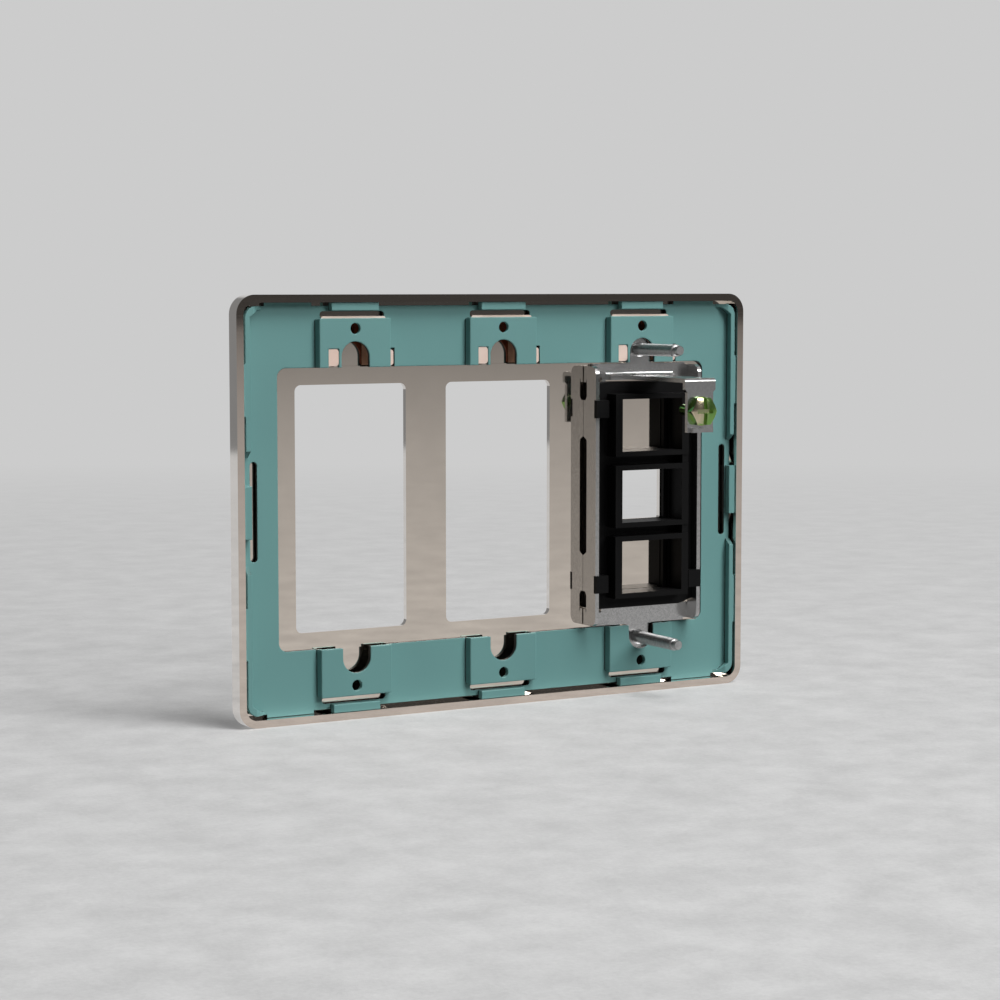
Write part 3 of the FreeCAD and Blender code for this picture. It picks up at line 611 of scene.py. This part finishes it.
# %% Surface of the table
TABLE_PALE = (0.66, 0.66, 0.66)
TABLE_DEEP = (0.50, 0.50, 0.50)
TABLE_BOUNCE = (0.10, 0.10, 0.10)
TABLE_CLOUD = 17.0 * MM
TABLE_SPECK = 1.2 * MM
TABLE_RELIEF = 0.6 * MM
FADE_FROM, FADE_TO = 0.05, 0.95
# Painted light: at least this share of the pale glow is mixed in, lightening the plate's shadow.
SHADOW_LIFT = 0.30
TABLE_END = 1.12
END_BLUR = 0.05
SIDE_BLUR = 0.1
FALL_OFF = 2.4
MIRROR_LIGHT = 0.98
AHEAD_FROM, AHEAD_TO = 0.60, 0.80
MIRROR_LEVEL = (-0.5012, 0.8653, 0.0)


def table_surface():
    material, tree, shader, where = new_tree("pale_mottled_table")
    cloud = noise(tree, where, TABLE_CLOUD, 7.0, 0.66)
    fine = noise(tree, where, TABLE_SPECK, 3.0, 0.7)
    blend = weighted(tree, fine, 0.3, levels(tree, cloud, 0.0, 1.0, 0.0, 0.7))
    mottled = mixed(tree, levels(tree, blend, 0.38, 0.62), TABLE_DEEP, TABLE_PALE)
    to_eye, shiny = ray_masks(tree)
    seen_by = calc(tree, "MAXIMUM", to_eye, shiny)
    feed(tree, shader, Roughness=0.7, Specular_IOR_Level=0.2,
         Base_Color=mixed(tree, seen_by, TABLE_BOUNCE, mottled),
         Normal=bump(tree, blend, TABLE_RELIEF, 0.3))

    reach = along(tree, where, VIEW_LEVEL)
    away = distance_from_middle(tree, where)
    ahead = levels(tree, calc(tree, "DIVIDE", reach, away), AHEAD_FROM, AHEAD_TO)
    in_view = calc(tree, "MAXIMUM", ahead, to_eye)
    # Painted light: the glow share never drops below SHADOW_LIFT, so the plate's shadow on the
    # table reads lighter.
    fade_and_shadow_lift = levels(tree, reach, FADE_FROM, FADE_TO, SHADOW_LIFT, 1.0)
    behind = mixed_shader(tree, product(tree, fade_and_shadow_lift, seen_by, in_view),
                          shader.outputs["BSDF"], plain_light(tree, BACKGROUND))

    far = along(tree, where, MIRROR_LEVEL)
    farther = calc(tree, "ADD", calc(tree, "MAXIMUM", far, 0.0), FALL_OFF)
    share = calc(tree, "DIVIDE", FALL_OFF, farther)
    dim = plain_light(tree, mixed(tree, share, ROOM_DARK, mottled), MIRROR_LIGHT)
    not_ahead = product(tree, calc(tree, "SUBTRACT", 1.0, in_view), shiny)
    mirrored = mixed_shader(tree, not_ahead, behind, dim)

    ended = levels(tree, away, TABLE_END, TABLE_END + END_BLUR)
    beside = levels(tree, far, 0.0, SIDE_BLUR, 1.0, 0.0)
    whole = mixed_shader(tree, product(tree, not_ahead, ended, beside),
                         mirrored, plain_light(tree, ROOM_SIDE))
    output = [n for n in tree.nodes if n.type == "OUTPUT_MATERIAL"][0]
    tree.links.new(whole, output.inputs["Surface"])
    return material


# %% [markdown]
# The table itself is one large plane at the height of the lower edge. Everything is deselected
# first, because an operator acts on all that is selected.

# %% Table
TABLE_SIZE = 12.0
for other in bpy.context.selected_objects:
    other.select_set(False)
bpy.ops.mesh.primitive_plane_add(size=TABLE_SIZE, location=(0.0, 0.0, table_z))
table = bpy.context.object
table.name = "table"
table.data.materials.append(table_surface())
print("table of", TABLE_SIZE, "m is", table.data.materials[0].name)

# %% [markdown]
# The world is a plain grey fill. The camera sees a pale backdrop instead, from every side, and
# metal mirrors that backdrop behind the plate and the dark of the room on the camera's side.

# %% World
FILL = 0.03
SIDE_FROM, SIDE_TO = -0.4, 0.3
BACKDROP_FROM, BACKDROP_TO = 0.84, 0.93
world = bpy.data.worlds.new("studio")
bpy.context.scene.world = world
world.use_nodes = True
sky = world.node_tree
sky.nodes.clear()
outward = along(sky, sky.nodes.new("ShaderNodeTexCoord").outputs["Generated"], VIEW_LEVEL)
to_eye, shiny = ray_masks(sky)
around = mixed(sky, levels(sky, outward, SIDE_FROM, SIDE_TO), ROOM_DARK, ROOM_SIDE)
behind = calc(sky, "MAXIMUM", levels(sky, outward, BACKDROP_FROM, BACKDROP_TO), to_eye)
seen = add(sky, "ShaderNodeBackground", Strength=1.0,
           Color=mixed(sky, behind, around, BACKGROUND))
fill = add(sky, "ShaderNodeBackground", Color=(1.0, 1.0, 1.0, 1.0), Strength=FILL)
chosen = mixed_shader(sky, calc(sky, "MAXIMUM", to_eye, shiny),
                      fill.outputs["Background"], seen.outputs["Background"])
add(sky, "ShaderNodeOutputWorld", Surface=chosen)
print("world", world.name, "fills with", FILL)


# %% [markdown]
# A large soft lamp stands high on the camera's side, to the right of the picture, and a weaker
# one fills in lower down, where the screws and the green head mirror it.

# %% Lamps
LAMP_DISTANCE = 3.0


def soft_lamp(name, level_way, height_angle, size, power):
    """A disc lamp towards a level direction, raised by an angle in degrees."""
    rise = math.radians(height_angle)
    level = Vector(level_way).normalized() * math.cos(rise)
    place_at = Vector((level.x, level.y, math.sin(rise))) * LAMP_DISTANCE
    light = bpy.data.lights.new(name, "AREA")
    light.shape = "DISK"
    light.size = size
    light.energy = power
    lamp = bpy.data.objects.new(name, light)
    bpy.context.scene.collection.objects.link(lamp)
    lamp.location = place_at
    lamp.rotation_euler = (-place_at).to_track_quat("-Z", "Y").to_euler()
    print(name, "at", [round(v, 3) for v in place_at], "with", power, "W")


soft_lamp("key", (-0.42, 0.91, 0.0), 62.0, 1.7, 87.0)
soft_lamp("box", (-0.50, 0.86, 0.0), 29.0, 1.3, 37.0)

# %% [markdown]
# The camera stands where the photograph was taken from, behind the plate and a little above its
# middle, with a long lens. Its place was worked out from the spacings of the screw holes.

# %% Camera
CAMERA_AT = Vector((0.3497, 0.6017, 0.0600))
CAMERA_LOOKS = Vector((-0.4994, -0.8622, -0.0856))
camera_data = bpy.data.cameras.new("camera")
camera_data.lens = 90.0
camera_data.sensor_width = 36.0
camera = bpy.data.objects.new("camera", camera_data)
bpy.context.scene.collection.objects.link(camera)
camera.location = CAMERA_AT
camera.rotation_euler = CAMERA_LOOKS.to_track_quat("-Z", "Y").to_euler()
bpy.context.scene.camera = camera
bpy.context.scene.view_settings.view_transform = "Standard"
print("camera at", [round(v, 3) for v in camera.location], "with", camera_data.lens, "mm")
